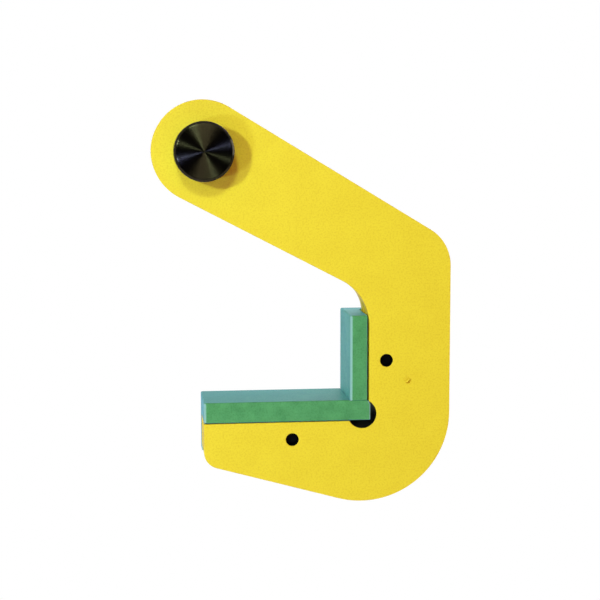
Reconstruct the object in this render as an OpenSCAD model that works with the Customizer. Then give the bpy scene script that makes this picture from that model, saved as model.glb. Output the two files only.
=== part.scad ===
// Horizontal pipe lifting clamp: a hook-shaped welded body, two L-shaped plastic liners, a lifting pin.
// The origin is on the lifting pin's axis, midway through the body. +X runs from the eye to the leg,
// +Y to the rear face and +Z up.

/* [Body outline] */
// Radius of the rounded eye end round the lifting pin
eye_r = 33; // [30:0.5:38]
// Slope of the arm's top edge, in degrees
arm_top_slope = 31.1; // [28:0.1:34]
// Slope of the arm's lower edge, in degrees
arm_under_slope = 27.5; // [25:0.1:30]
// Distance from the lifting pin's axis to the upright seat
upright_seat_x = 108; // [98:1:120]
// Drop from the lifting pin's axis to the jaw seat
jaw_seat_drop = 177; // [168:1:200]
// Width of the leg
leg_w = 54; // [46:1:64]
// Outer corner radius of the elbow
elbow_r = 28; // [20:1:40]
// Inner corner radius of the throat in the core plate and the rear cheek
throat_r = 25; // [18:1:32]
// Inner corner radius of the throat in the front cheek
front_throat_r = 33; // [25:1:36]
// Length of the jaw from the upright seat to its tip
jaw_reach = 109; // [90:1:125]
// Slope of the jaw's underside, in degrees
jaw_under_slope = 15.6; // [12:0.1:18]
// Corner radius of the jaw's tip
jaw_tip_r = 11; // [6:0.5:14]
// Radius of the stress relief hole in the inner corner
relief_r = 9.5; // [8:0.5:12]
// Distance of the relief hole's centre from both seats
relief_in = 4.6; // [4:0.1:6]

/* [Plates and welds] */
// Thickness of each cheek plate
cheek_t = 10; // [8:0.5:14]
// Thickness of the core plate, which is also the width of the link slot
core_t = 15; // [12:0.5:20]
// Radius round the lifting pin that the core plate leaves free for a link
link_room_r = 40; // [36:1:46]
// Depth of the welding groove in the body's rim
weld_depth = 4; // [2.5:0.5:6]
// How far the ground weld lies below the plates' rims
weld_low = 0.4; // [0.2:0.1:0.8]

/* [Lifting pin] */
// Diameter of the pin's head and of its collar
pin_head_d = 38; // [34:1:44]
// Height of the head and of the collar
pin_head_h = 22; // [18:1:28]
// Diameter of the pin's shank
pin_shank_d = 26; // [20:1:28]
// Width of the turned chamfer on the head and the collar
pin_chamfer = 1.5; // [0.5:0.25:2.5]
// Running clearance of the shank in the cheeks, on the radius
pin_clear = 0.05; // [0.02:0.01:0.1]
// Side play between the cheeks and the head or the collar
pin_side_play = 0.3; // [0.2:0.1:0.8]
// Diameter of the slotted pin that holds the collar
cross_pin_d = 8; // [6:0.5:10]
// Wall of the slotted pin
cross_pin_wall = 1.5; // [1:0.25:2]
// Gap of the slotted pin
cross_pin_gap = 1.6; // [1:0.1:2.4]
// How far each end of the slotted pin lies inside the collar
cross_pin_sunk = 1; // [0.5:0.25:2]

/* [Liners] */
// Thickness of the jaw liner on its seat
jaw_liner_t = 14; // [10:0.5:18]
// Thickness of the upright liner on its seat
upright_liner_t = 12.7; // [9:0.1:16]
// Height of the upright liner above the jaw liner
upright_liner_h = 56; // [44:1:62]
// Reach of each liner's flange behind the rear cheek
flange_w = 25; // [22:0.5:32]
// Thickness of each liner's flange
flange_t = 12; // [9:0.5:16]
// How far the foot of the jaw liner's end passes the upright seat
liner_foot_run = 1; // [0.5:0.1:1.5]
// How far the head of the jaw liner's end stays back from the upright seat
liner_head_back = 0.4; // [0.2:0.1:0.8]
// Height of the slanted head of the jaw liner's end
liner_head_h = 2.6; // [2:0.1:4]
// Depth to which the upright liner's foot is let into the jaw liner, and its chamfer there
liner_rebate = 0.5; // [0.2:0.1:1]
// Gap between the upright liner and the throat's round
throat_gap = 0.3; // [0.2:0.1:0.8]

/* [Liner screws] */
// Thread diameter of the liner screws
screw_d = 10; // [8:1:10]
// Length of the liner screws over the countersunk head
screw_l = 40; // [34:1:44]
// Head diameter of the liner screws
screw_head_d = 20; // [18:0.5:21]
// Straight rim of the countersunk head
screw_head_rim = 0.8; // [0.4:0.1:1.2]
// Hexagon of the socket, across its corners
screw_socket_d = 6.9; // [5.8:0.1:8]
// Depth of the socket
screw_socket_depth = 3.6; // [2.5:0.1:4.5]
// Diameter of the pilot hole that opens in the front cheek
pilot_d = 8.4; // [6:0.1:8.6]
// Clearance of the screw in its tapped hole and in the flange, on the radius
screw_clear = 0.05; // [0.02:0.01:0.1]
// Clearance round the countersunk head, on the radius
screw_head_clear = 0.3; // [0.2:0.1:0.6]
// Distance of both screws behind their seats
screw_in = 11.5; // [11:0.1:13]
// Height of the upright screw above the jaw seat
upright_screw_rise = 40; // [32:1:46]
// Distance of the jaw screw from the upright seat
jaw_screw_back = 51; // [40:1:70]

/* [Rating plate] */
// Length of the blank rating plate
plate_l = 50; // [40:1:60]
// Width of the rating plate
plate_w = 26; // [18:1:32]
// Thickness of the rating plate
plate_t = 1; // [0.5:0.1:1.5]
// Corner radius of the rating plate
plate_r = 3; // [1:0.5:5]
// Distance of the plate's middle from the lifting pin's axis, along the arm
plate_along = 88; // [80:1:100]
// Shank diameter of the drive rivets
rivet_d = 3; // [2:0.5:4]
// Head diameter of the drive rivets
rivet_head_d = 6; // [5:0.5:8]
// Head height of the drive rivets
rivet_head_h = 1.4; // [1:0.1:2]
// How far the drive rivets reach into the rear cheek
rivet_deep = 6; // [4:0.5:7.5]
// Distance of each rivet from the plate's end
rivet_in = 5; // [4:0.5:8]

/* [Hidden] */
$fn = 96;

// Largest angle between two points of a round corner
arc_step = 3;
// Small overlap that keeps cutting tools clear of the faces that they cut
cut = 1;
paint_yellow = [0.93, 0.83, 0.2];
liner_green = [0.36, 0.66, 0.43];
black_steel = [0.08, 0.08, 0.09];
bare_metal = [0.75, 0.76, 0.78];

// Planes across the body's thickness
core_y = core_t / 2;
face_y = core_y + cheek_t;
flange_y = face_y + flange_t;

// Corners and centres of the outline, as [x, z]
right_x = upright_seat_x + leg_w;
tip_x = upright_seat_x - jaw_reach;
jaw_z = -jaw_seat_drop;
heel_c = [upright_seat_x - relief_in, jaw_z + relief_in];
heel_r = right_x - heel_c[0];
top_n = [sin(arm_top_slope), cos(arm_top_slope)];
under_n = [-sin(arm_under_slope), -cos(arm_under_slope)];
jaw_n = [-sin(jaw_under_slope), -cos(jaw_under_slope)];
elbow_c = [right_x - elbow_r, line_z(top_n, eye_r - elbow_r, right_x - elbow_r)];
jaw_line = jaw_n * heel_c + heel_r;
tip_c = [tip_x + jaw_tip_r, line_z(jaw_n, jaw_line - jaw_tip_r, tip_x + jaw_tip_r)];

jaw_top_z = jaw_z + jaw_liner_t;
upright_foot_z = jaw_top_z - liner_rebate;
upright_top_z = jaw_top_z + upright_liner_h;
upright_face_x = upright_seat_x - upright_liner_t;
upright_screw_at = [upright_seat_x + screw_in, jaw_z + upright_screw_rise];
jaw_screw_at = [upright_seat_x - jaw_screw_back, jaw_z - screw_in];
screw_tip_y = flange_y - screw_l;
screw_head_h = (screw_head_d - screw_d) / 2 + screw_head_rim;

head_y = face_y + pin_side_play;
pin_end_y = head_y + pin_head_h;
cross_pin_y = head_y + pin_head_h / 2;
arm_slope = (arm_top_slope + arm_under_slope) / 2;
plate_at = plate_along * [cos(arm_slope), -sin(arm_slope)];

// Height at x of the line whose unit normal is n and whose distance from the origin is d
function line_z(n, d, x) = (d - n[0] * x) / n[1];

// Points on a circle's arc between two angles, in degrees
function arc(c, r, from, to) =
    let (steps = ceil(abs(to - from) / arc_step))
    [for (i = [0:steps]) let (a = from + (to - from) * i / steps) c + r * [cos(a), sin(a)]];

// Centre of a throat round of radius r
function throat_c(r) = [upright_seat_x - r, line_z(under_n, eye_r + r, upright_seat_x - r)];

// The hook's edge that faces the pipe, from the eye to the upright seat, with a throat of radius r
function throat_path(inset, r = throat_r) = concat(
    [(eye_r - inset) * under_n],
    arc(throat_c(r), r + inset, 90 - arm_under_slope, -acos(r / (r + inset)))
);

// The hook's outer edge, from the jaw seat round the tip, the heel and the elbow to the eye
function rim_path(inset) = concat(
    [[tip_x + inset, jaw_z]],
    arc(tip_c, jaw_tip_r - inset, 180, 270 - jaw_under_slope),
    arc(heel_c, heel_r - inset, 270 - jaw_under_slope, 360),
    arc(elbow_c, elbow_r - inset, 0, 90 - arm_top_slope),
    [(eye_r - inset) * top_n]
);

// A list of points in the opposite order
function backwards(points) = [for (i = [len(points) - 1:-1:0]) points[i]];

// Extrudes an outline drawn as [x, z] from y0 to y1
module slab(y0, y1) {
    translate([0, y1, 0])
        rotate([90, 0, 0])
            linear_extrude(y1 - y0)
                children();
}

// Turns a profile drawn as [radius, y] about a line along Y through the point at, given as [x, z]
module turned(at = [0, 0]) {
    translate([at[0], 0, at[1]])
        rotate([-90, 0, 0])
            rotate_extrude()
                children();
}

// A round rod or hole along Y through the point at, given as [x, z]
module rod(r, y0, y1, at = [0, 0]) {
    translate([at[0], y0, at[1]])
        rotate([-90, 0, 0])
            cylinder(r = r, h = y1 - y0);
}

// The hook's outline with its rim moved in by inset and a throat of radius r. The two seats stay where they are.
module hook_outline(inset = 0, r = throat_r) {
    polygon(concat(
        arc([0, 0], eye_r - inset, 90 - arm_top_slope, 270 - arm_under_slope),
        throat_path(inset, r),
        [[upright_seat_x, jaw_z]],
        rim_path(inset)
    ));
}

// The relief hole and the two tapped holes, as every plate has them
module plate_holes(y0, y1) {
    rod(relief_r, y0 - cut, y1 + cut, heel_c);
    for (at = [upright_screw_at, jaw_screw_at])
        rod(screw_d / 2 + screw_clear, max(y0 - cut, screw_tip_y - cut), y1 + cut, at);
}

module front_cheek() {
    color(paint_yellow)
        difference() {
            slab(-face_y, -core_y) hook_outline(r = front_throat_r);
            plate_holes(-face_y, -core_y);
            for (at = [upright_screw_at, jaw_screw_at])
                rod(pilot_d / 2, -face_y - cut, -core_y, at);
            rod(pin_shank_d / 2 + pin_clear, -face_y - cut, -core_y + cut);
        }
}

module core_plate() {
    color(paint_yellow)
        difference() {
            slab(-core_y, core_y) hook_outline(weld_depth);
            plate_holes(-core_y, core_y);
            rod(link_room_r, -core_y - cut, core_y + cut);
        }
}

module rear_cheek() {
    color(paint_yellow)
        difference() {
            slab(core_y, face_y) hook_outline();
            plate_holes(core_y, face_y);
            rod(pin_shank_d / 2 + pin_clear, core_y - cut, face_y + cut);
            for (at = rivet_places())
                rod(rivet_d / 2, face_y - rivet_deep, face_y + cut, at);
        }
}

// The weld metal that fills the groove between the cheeks, ground just below their rims
module seam_weld(face, root) {
    color(paint_yellow)
        difference() {
            slab(-core_y, core_y) polygon(concat(face, backwards(root)));
            rod(link_room_r, -core_y - cut, core_y + cut);
        }
}

module outer_seam_weld() {
    seam_weld(rim_path(weld_low), rim_path(weld_depth));
}

module throat_seam_weld() {
    seam_weld(throat_path(weld_low), throat_path(weld_depth));
}

// The clear hole and the countersink of a liner screw through a flange
module countersink(at) {
    head_r = screw_head_d / 2 + screw_head_clear;
    turned(at)
        polygon([
            [0, face_y - cut],
            [screw_d / 2 + screw_clear, face_y - cut],
            [screw_d / 2 + screw_clear, flange_y - screw_head_h - screw_head_clear],
            [head_r, flange_y - screw_head_rim],
            [head_r, flange_y + cut],
            [0, flange_y + cut],
        ]);
}

module jaw_liner() {
    color(liner_green)
        difference() {
            union() {
                slab(-face_y, flange_y)
                    polygon([
                        [tip_x, jaw_z],
                        [upright_seat_x + liner_foot_run, jaw_z],
                        [upright_seat_x + liner_foot_run, upright_foot_z - liner_head_h],
                        [upright_seat_x - liner_head_back, upright_foot_z],
                        [upright_face_x, upright_foot_z],
                        [upright_face_x, jaw_top_z],
                        [tip_x, jaw_top_z],
                    ]);
                slab(face_y, flange_y)
                    translate([tip_x, jaw_z - flange_w])
                        square([jaw_reach + liner_foot_run, flange_w]);
            }
            countersink(jaw_screw_at);
        }
}

module upright_liner() {
    liner_h = upright_top_z - upright_foot_z;
    color(liner_green)
        difference() {
            slab(-face_y, flange_y)
                polygon([
                    [upright_face_x, jaw_top_z],
                    [upright_face_x + liner_rebate, upright_foot_z],
                    [upright_seat_x + flange_w, upright_foot_z],
                    [upright_seat_x + flange_w, upright_top_z],
                    [upright_face_x, upright_top_z],
                ]);
            // Leaves only the flange behind the body's seat
            slab(-face_y - cut, face_y)
                translate([upright_seat_x, upright_foot_z - cut])
                    square([flange_w + cut, liner_h + 2 * cut]);
            // Keeps the pad's back clear of the throat's round
            slab(-face_y - cut, face_y)
                difference() {
                    translate(throat_c(front_throat_r))
                        square([front_throat_r + cut, liner_h]);
                    translate(throat_c(front_throat_r))
                        circle(front_throat_r - throat_gap);
                }
            countersink(upright_screw_at);
        }
}

// A countersunk socket screw that enters the flange from behind
module liner_screw(at) {
    tip_r = pilot_d / 2;
    thread_r = screw_d / 2;
    color(black_steel)
        difference() {
            turned(at)
                polygon([
                    [0, screw_tip_y],
                    [tip_r, screw_tip_y],
                    [thread_r, screw_tip_y + thread_r - tip_r],
                    [thread_r, flange_y - screw_head_h],
                    [screw_head_d / 2, flange_y - screw_head_rim],
                    [screw_head_d / 2, flange_y],
                    [0, flange_y],
                ]);
            translate([at[0], flange_y - screw_socket_depth, at[1]])
                rotate([-90, 0, 0])
                    cylinder(d = screw_socket_d, h = screw_socket_depth + cut, $fn = 6);
        }
}

module jaw_liner_screw() {
    liner_screw(jaw_screw_at);
}

module upright_liner_screw() {
    liner_screw(upright_screw_at);
}

// The hole of the slotted pin, across the collar and the shank
module cross_hole() {
    translate([-pin_head_d, cross_pin_y, 0])
        rotate([0, 90, 0])
            cylinder(d = cross_pin_d, h = 2 * pin_head_d);
}

module lifting_pin() {
    head_r = pin_head_d / 2;
    shank_r = pin_shank_d / 2;
    color(black_steel)
        difference() {
            turned()
                polygon([
                    [0, -pin_end_y],
                    [head_r - pin_chamfer, -pin_end_y],
                    [head_r, -pin_end_y + pin_chamfer],
                    [head_r, -head_y],
                    [shank_r, -head_y],
                    [shank_r, pin_end_y - pin_chamfer],
                    [shank_r - pin_chamfer, pin_end_y],
                    [0, pin_end_y],
                ]);
            cross_hole();
        }
}

module pin_collar() {
    head_r = pin_head_d / 2;
    bore_r = pin_shank_d / 2 + pin_clear;
    color(black_steel)
        difference() {
            turned()
                polygon([
                    [bore_r, head_y],
                    [head_r, head_y],
                    [head_r, pin_end_y - pin_chamfer],
                    [head_r - pin_chamfer, pin_end_y],
                    [bore_r, pin_end_y],
                ]);
            cross_hole();
        }
}

// A slotted spring pin that runs through the collar and the shank
module collar_cross_pin() {
    pin_l = pin_head_d - 2 * cross_pin_sunk;
    color(bare_metal)
        translate([-pin_l / 2, cross_pin_y, 0])
            rotate([0, 90, 0])
                difference() {
                    cylinder(d = cross_pin_d, h = pin_l);
                    translate([0, 0, -cut])
                        cylinder(d = cross_pin_d - 2 * cross_pin_wall, h = pin_l + 2 * cut);
                    translate([-cross_pin_gap / 2, 0, -cut])
                        cube([cross_pin_gap, cross_pin_d, pin_l + 2 * cut]);
                }
}

// The places of the two rivets, as [x, z]
function rivet_places() = [
    for (side = [-1, 1])
        plate_at + side * (plate_l / 2 - rivet_in) * [cos(arm_slope), -sin(arm_slope)]
];

module rating_plate() {
    color(bare_metal)
        difference() {
            slab(face_y, face_y + plate_t)
                translate(plate_at)
                    rotate(-arm_slope) {
                        square([plate_l - 2 * plate_r, plate_w], center = true);
                        square([plate_l, plate_w - 2 * plate_r], center = true);
                        for (side_x = [-1, 1], side_z = [-1, 1])
                            translate([side_x * (plate_l / 2 - plate_r), side_z * (plate_w / 2 - plate_r)])
                                circle(plate_r);
                    }
            for (at = rivet_places())
                rod(rivet_d / 2, face_y - cut, face_y + plate_t + cut, at);
        }
}

module rating_plate_rivets() {
    head_r = rivet_head_d / 2;
    dome_r = (head_r * head_r + rivet_head_h * rivet_head_h) / (2 * rivet_head_h);
    head_at = face_y + plate_t;
    color(bare_metal)
        for (at = rivet_places()) {
            rod(rivet_d / 2, face_y - rivet_deep, head_at, at);
            intersection() {
                rod(head_r, head_at, head_at + rivet_head_h, at);
                translate([at[0], head_at + rivet_head_h - dome_r, at[1]])
                    sphere(dome_r);
            }
        }
}

front_cheek();
core_plate();
rear_cheek();
outer_seam_weld();
throat_seam_weld();
jaw_liner();
upright_liner();
jaw_liner_screw();
upright_liner_screw();
lifting_pin();
pin_collar();
collar_cross_pin();
rating_plate();
rating_plate_rivets();
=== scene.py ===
"""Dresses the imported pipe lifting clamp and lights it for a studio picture.

Lengths are in metres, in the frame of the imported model: the origin is on the
lifting pin's axis, midway through the body, +X runs from the eye to the leg,
+Y to the rear face and +Z up.
"""
import logging
import math
from abc import ABC, abstractmethod
from collections.abc import Callable, Iterable, Sequence
from dataclasses import dataclass
from enum import Enum

import bmesh
import bpy
from mathutils import Matrix, Quaternion, Vector, noise


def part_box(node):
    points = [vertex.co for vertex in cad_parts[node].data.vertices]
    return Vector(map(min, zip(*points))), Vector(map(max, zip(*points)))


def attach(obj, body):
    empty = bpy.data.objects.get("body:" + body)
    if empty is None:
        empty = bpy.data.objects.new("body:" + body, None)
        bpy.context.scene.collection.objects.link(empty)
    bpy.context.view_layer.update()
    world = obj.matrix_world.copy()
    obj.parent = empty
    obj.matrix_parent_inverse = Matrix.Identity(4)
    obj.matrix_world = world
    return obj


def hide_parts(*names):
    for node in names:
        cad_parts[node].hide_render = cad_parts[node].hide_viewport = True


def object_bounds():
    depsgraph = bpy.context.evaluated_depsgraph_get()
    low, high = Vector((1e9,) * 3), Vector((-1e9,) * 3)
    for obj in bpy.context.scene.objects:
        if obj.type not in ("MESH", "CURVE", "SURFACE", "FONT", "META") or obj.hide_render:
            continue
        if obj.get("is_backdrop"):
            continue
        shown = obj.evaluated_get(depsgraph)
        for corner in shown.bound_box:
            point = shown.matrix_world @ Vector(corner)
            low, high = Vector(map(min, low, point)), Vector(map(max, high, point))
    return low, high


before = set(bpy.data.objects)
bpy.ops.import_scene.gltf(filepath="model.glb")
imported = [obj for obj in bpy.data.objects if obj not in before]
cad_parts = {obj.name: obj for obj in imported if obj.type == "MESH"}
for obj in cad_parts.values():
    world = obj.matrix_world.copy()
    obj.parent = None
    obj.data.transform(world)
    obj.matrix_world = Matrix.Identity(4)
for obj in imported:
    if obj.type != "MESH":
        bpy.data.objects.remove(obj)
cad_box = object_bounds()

LOG = logging.getLogger("clamp")

MM = 0.001
# Points closer than this are one point
TOUCH = 0.002 * MM
# How far a small tool passes the face that it cuts
PAST = 1 * MM
# Faces that turn less than this from each other are one flat face
FLAT = math.radians(0.4)
# Edges that turn more than this are corners
CORNER = math.radians(30)
# Numbers of a Mix node's sockets for colours
MIX_LOW, MIX_HIGH, MIX_RESULT = 6, 7, 2

Colour = tuple[float, float, float, float]
Point = tuple[float, float]
Range = tuple[float, float]
Triple = tuple[float, float, float]
Rounding = tuple[float, float, float]
Socket = bpy.types.NodeSocket
Material = bpy.types.Material
Piece = bpy.types.Object
Edge = bmesh.types.BMEdge
Solid = bmesh.types.BMesh

# Nearly all values of a noise lie in this range
NOISE_RANGE: Range = (0.3, 0.7)


class Body(Enum):
    """The bodies that pieces ride on."""

    HOOK = "hook"
    PIN = "pin"


class Slot(Enum):
    """The record's material slots."""

    BODY_PAINT = "body_paint"
    WELD_PAINT = "weld_paint"
    LINER_PLASTIC = "liner_plastic"
    TURNED_STEEL = "black_turned_steel"
    SCREW_STEEL = "black_screw_steel"
    SPRING_STEEL = "spring_steel"
    PLATE_METAL = "plate_metal"
    RIVET_METAL = "rivet_metal"


class Work(Enum):
    """What a tool's shape does to a piece."""

    CUT = "DIFFERENCE"
    JOIN = "UNION"


class Nodes:
    """The shader nodes of a material or of the world."""

    def __init__(self, owner: bpy.types.ID) -> None:
        """Starts on the nodes of their owner."""
        owner.use_nodes = True
        self.tree = owner.node_tree

    def add(self, kind: str, inputs: dict | None = None, **settings: object) -> bpy.types.Node:
        """Adds a node.

        Args:
            kind: The node's type, less the ShaderNode that all types start with.
            inputs: Sockets to link, or values to set, by input name or number.
            settings: Properties of the node.

        Returns:
            The new node.
        """
        node = self.tree.nodes.new("ShaderNode" + kind)
        for key, value in settings.items():
            setattr(node, key, value)
        for key, value in (inputs or {}).items():
            if isinstance(value, Socket):
                self.tree.links.new(value, node.inputs[key])
            else:
                node.inputs[key].default_value = value
        return node

    def math(self, operation: str, *values: object) -> Socket:
        """Returns the outcome of a Math node on the values."""
        return self.add("Math", dict(enumerate(values)), operation=operation).outputs[0]

    def axes(self, vector: Socket) -> list[Socket]:
        """Returns a vector's three parts."""
        return list(self.add("SeparateXYZ", {0: vector}).outputs)

    def spread(self, value: Socket, source: Range, target: Range = (0, 1)) -> Socket:
        """Returns the value moved from one range to another, and kept inside it."""
        return self.add("MapRange", dict(enumerate((value, *source, *target)))).outputs[0]

    def blend(self, factor: Socket, low: object, high: object) -> Socket:
        """Returns a colour between low and high."""
        inputs = {0: factor, MIX_LOW: low, MIX_HIGH: high}
        return self.add("Mix", inputs, data_type="RGBA").outputs[MIX_RESULT]


class Shader(Nodes):
    """A node material in the making, round one Principled shader."""

    def __init__(self, name: str, sockets: dict[str, object]) -> None:
        """Starts a material.

        Args:
            name: The material's name.
            sockets: Values for the shader's own sockets.
        """
        self.material = bpy.data.materials.new(name)
        super().__init__(self.material)
        self.surface = self.tree.nodes["Principled BSDF"]
        for socket, value in sockets.items():
            self.surface.inputs[socket].default_value = value
        place = self.add("TexCoord")
        self.place = place.outputs["Object"]
        self.facing = place.outputs["Normal"]
        self.normal: Socket | None = None

    def grain(self, size: float, detail: float = 2.0, stretch: Triple = (1, 1, 1)) -> Socket:
        """Makes noise.

        Args:
            size: About the size of its features.
            detail: How many finer levels it has.
            stretch: How much longer the features are along each axis.

        Returns:
            A value round 0.5.
        """
        scale = [1 / (size * axis) for axis in stretch]
        place = self.add("Mapping", {"Vector": self.place, "Scale": scale}).outputs[0]
        return self.add("TexNoise", {"Vector": place, "Scale": 1.0, "Detail": detail}).outputs[0]

    def rings(self, pitch: float) -> Socket:
        """Makes noise in rings round the lifting pin's axis.

        Args:
            pitch: About the distance between two rings.

        Returns:
            A value round 0.5.
        """
        x, y, z = self.axes(self.place)
        squares = self.math("ADD", self.math("MULTIPLY", x, x), self.math("MULTIPLY", z, z))
        way = self.math("ADD", self.math("SQRT", squares), y)
        inputs = {"W": self.math("DIVIDE", way, pitch), "Scale": 1.0, "Detail": 1.0}
        return self.add("TexNoise", inputs, noise_dimensions="1D").outputs[0]

    def relief(self, height: Socket, depth: float) -> None:
        """Adds surface relief on top of what there is.

        Args:
            height: The height at each place, from 0 to 1.
            depth: The length that a height of 1 stands for.
        """
        inputs = {"Height": height, "Distance": depth}
        if self.normal:
            inputs["Normal"] = self.normal
        self.normal = self.add("Bump", inputs).outputs[0]

    def finish(self, **links: Socket) -> Material:
        """Links sockets and the relief to the shader.

        Args:
            links: Sockets by the shader's input names, with spaces as underscores.

        Returns:
            The finished material.
        """
        if self.normal:
            links["Normal"] = self.normal
        for socket, value in links.items():
            self.tree.links.new(value, self.surface.inputs[socket.replace("_", " ")])
        return self.material


@dataclass(frozen=True)
class YellowPaint:
    """Satin yellow paint, sprayed on steel."""

    name: str = "yellow_paint"
    colour: Colour = (0.85, 0.665, 0.036, 1)
    deep_colour: Colour = (0.77, 0.57, 0.027, 1)
    # Darker, browner yellow that the plates' side faces turn to: painted shade
    rim_shade_colour: Colour = (0.76, 0.54, 0.028, 1)
    shine: float = 0.1
    roughness: Range = (0.4, 0.5)
    peel_size: float = 1.6 * MM
    peel_depth: float = 0.05 * MM
    speck_size: float = 1.1 * MM
    speck_range: Range = (0.45, 0.7)
    cloud_size: float = 14 * MM
    cloud_depth: float = 0.02 * MM
    cloud_range: Range = (0.35, 0.65)
    cloud_share: float = 0.25
    rim_shade_range: Range = (0.3, 0.9)
    rim_sharpness: float = 4.0
    cut_pitch: float = 0.9 * MM
    cut_stretch: Triple = (1, 60, 1)
    cut_depth: float = 0.05 * MM

    def material(self) -> Material:
        """Makes the paint, with orange peel, faint clouds, the cut's marks on its rims, and painted
        shade on its rims.

        Returns:
            The material.
        """
        shader = Shader(self.name, {"Specular IOR Level": self.shine})
        peel = shader.grain(self.peel_size)
        clouds = shader.grain(self.cloud_size, detail=3.0)
        specks = shader.grain(self.speck_size)
        rim = shader.math("SUBTRACT", 1.0, shader.math("ABSOLUTE", shader.axes(shader.facing)[1]))
        cut_marks = shader.grain(self.cut_pitch, stretch=self.cut_stretch)
        on_rim = shader.math("POWER", rim, self.rim_sharpness)
        shader.relief(clouds, self.cloud_depth)
        shader.relief(peel, self.peel_depth)
        shader.relief(shader.math("MULTIPLY", cut_marks, on_rim), self.cut_depth)
        mottle = shader.math(
            "ADD",
            shader.spread(clouds, self.cloud_range, (0, self.cloud_share)),
            shader.spread(specks, self.speck_range),
        )
        face = shader.blend(mottle, self.colour, self.deep_colour)
        return shader.finish(
            # Side faces blend towards the darker rim colour: painted shade
            Base_Color=shader.blend(shader.spread(rim, self.rim_shade_range), face, self.rim_shade_colour),
            Roughness=shader.spread(peel, NOISE_RANGE, self.roughness),
        )


@dataclass(frozen=True)
class BoreWallShade:
    """Unpainted steel in drilled holes, coloured near black as painted shade."""

    # Both colours are near black: painted shade inside the holes
    colour: Colour = (0.002, 0.002, 0.002, 1)
    paler_shade_colour: Colour = (0.006, 0.005, 0.004, 1)
    roughness: float = 0.5
    shine: float = 0.03
    mark_pitch: float = 0.4 * MM
    mark_stretch: Triple = (30, 1, 30)
    mark_depth: float = 0.02 * MM

    def material(self) -> Material:
        """Makes the bore's wall, with the drill's rings and a near-black painted shade.

        Returns:
            The material.
        """
        sockets = {"Roughness": self.roughness, "Specular IOR Level": self.shine}
        shader = Shader("bore_wall_painted_shade", sockets)
        marks = shader.grain(self.mark_pitch, stretch=self.mark_stretch)
        shader.relief(marks, self.mark_depth)
        return shader.finish(Base_Color=shader.blend(marks, self.colour, self.paler_shade_colour))


@dataclass(frozen=True)
class LinerPlastic:
    """Green polyethylene, sawn and planed, with a painted highlight on its slanted edges and painted
    shade on its level faces.
    """

    colour: Colour = (0.105, 0.36, 0.135, 1)
    deep_colour: Colour = (0.065, 0.25, 0.085, 1)
    # Pale colour of the edges that slant to the front: a painted highlight
    accent_colour: Colour = (0.3, 0.52, 0.5, 1)
    sheen_colour: Colour = (0.2, 0.5, 1.0, 1)
    # Level faces turn towards the deep colour: painted shade
    top_shade_range: Range = (0.7, 1)
    top_shade_depth: float = 0.6
    level_highlight_weight: float = 0.1
    highlight_range: Range = (0.1, 0.45)
    highlight_share: float = 0.85
    roughness: Range = (0.36, 0.5)
    speck_size: float = 1.1 * MM
    speck_depth: float = 0.018 * MM
    speck_range: Range = (0.45, 0.7)
    speck_share: float = 0.5
    cloud_size: float = 9 * MM
    cloud_depth: float = 0.05 * MM
    cloud_range: Range = (0.35, 0.7)
    cloud_share: float = 0.6
    plane_pitch: float = 0.5 * MM
    plane_stretch: Triple = (1, 40, 1)
    plane_depth: float = 0.018 * MM

    def material(self) -> Material:
        """Makes the plastic, with the planer's marks along its depth, soft specks, a painted highlight
        on its slanted edges and painted shade on its level faces.

        Returns:
            The material.
        """
        shader = Shader(
            "liner_plastic",
            {
                "Subsurface Weight": 0.12,
                "Subsurface Radius": (0.4, 1.0, 0.6),
                "Subsurface Scale": 1.5 * MM,
                "Sheen Weight": 0.45,
                "Sheen Roughness": 0.45,
                "Sheen Tint": self.sheen_colour,
                "Specular IOR Level": 0.02,
            },
        )
        clouds = shader.grain(self.cloud_size, detail=3.0)
        specks = shader.grain(self.speck_size)
        planing = shader.grain(self.plane_pitch, stretch=self.plane_stretch)
        shader.relief(clouds, self.cloud_depth)
        shader.relief(planing, self.plane_depth)
        shader.relief(specks, self.speck_depth)
        mottle = shader.math(
            "ADD",
            shader.spread(clouds, self.cloud_range, (0, self.cloud_share)),
            shader.spread(specks, self.speck_range, (0, self.speck_share)),
        )
        # Edges that slant between the front and a side or the top turn pale: a painted highlight
        x, y, z = (shader.math("ABSOLUTE", axis) for axis in shader.axes(shader.facing))
        beside = shader.math("ADD", x, shader.math("MULTIPLY", z, self.level_highlight_weight))
        slant = shader.math("MULTIPLY", y, beside)
        # Level faces are made darker: painted shade
        level = shader.spread(z, self.top_shade_range, (0, self.top_shade_depth))
        top_shaded = shader.blend(level, self.colour, self.deep_colour)
        face = shader.blend(mottle, top_shaded, self.deep_colour)
        edge_highlight = shader.spread(slant, self.highlight_range, (0, self.highlight_share))
        return shader.finish(
            Base_Color=shader.blend(edge_highlight, face, self.accent_colour),
            Roughness=shader.spread(specks, NOISE_RANGE, self.roughness),
        )


@dataclass(frozen=True)
class TurnedBlackSteel:
    """Steel turned on a lathe and blackened, which shines across its tool marks."""

    colour: Colour = (0.024, 0.022, 0.011, 1)
    violet_colour: Colour = (0.023, 0.017, 0.012, 1)
    roughness: Range = (0.15, 0.26)
    streak: float = 1.0
    streak_turn: float = 0.25
    mark_pitch: float = 0.45 * MM
    mark_depth: float = 0.004 * MM
    stain_size: float = 7 * MM

    def material(self) -> Material:
        """Makes the steel, with fine rings and faint stains.

        Returns:
            The material.
        """
        sockets = {
            "Metallic": 1.0,
            "Anisotropic": self.streak,
            "Anisotropic Rotation": self.streak_turn,
        }
        shader = Shader("turned_black_steel", sockets)
        rings = shader.rings(self.mark_pitch)
        shader.relief(rings, self.mark_depth)
        stains = shader.grain(self.stain_size, detail=4.0)
        tangent = shader.add("Tangent", direction_type="RADIAL", axis="Y")
        return shader.finish(
            Base_Color=shader.blend(stains, self.colour, self.violet_colour),
            Roughness=shader.spread(rings, NOISE_RANGE, self.roughness),
            Tangent=tangent.outputs[0],
        )


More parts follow.
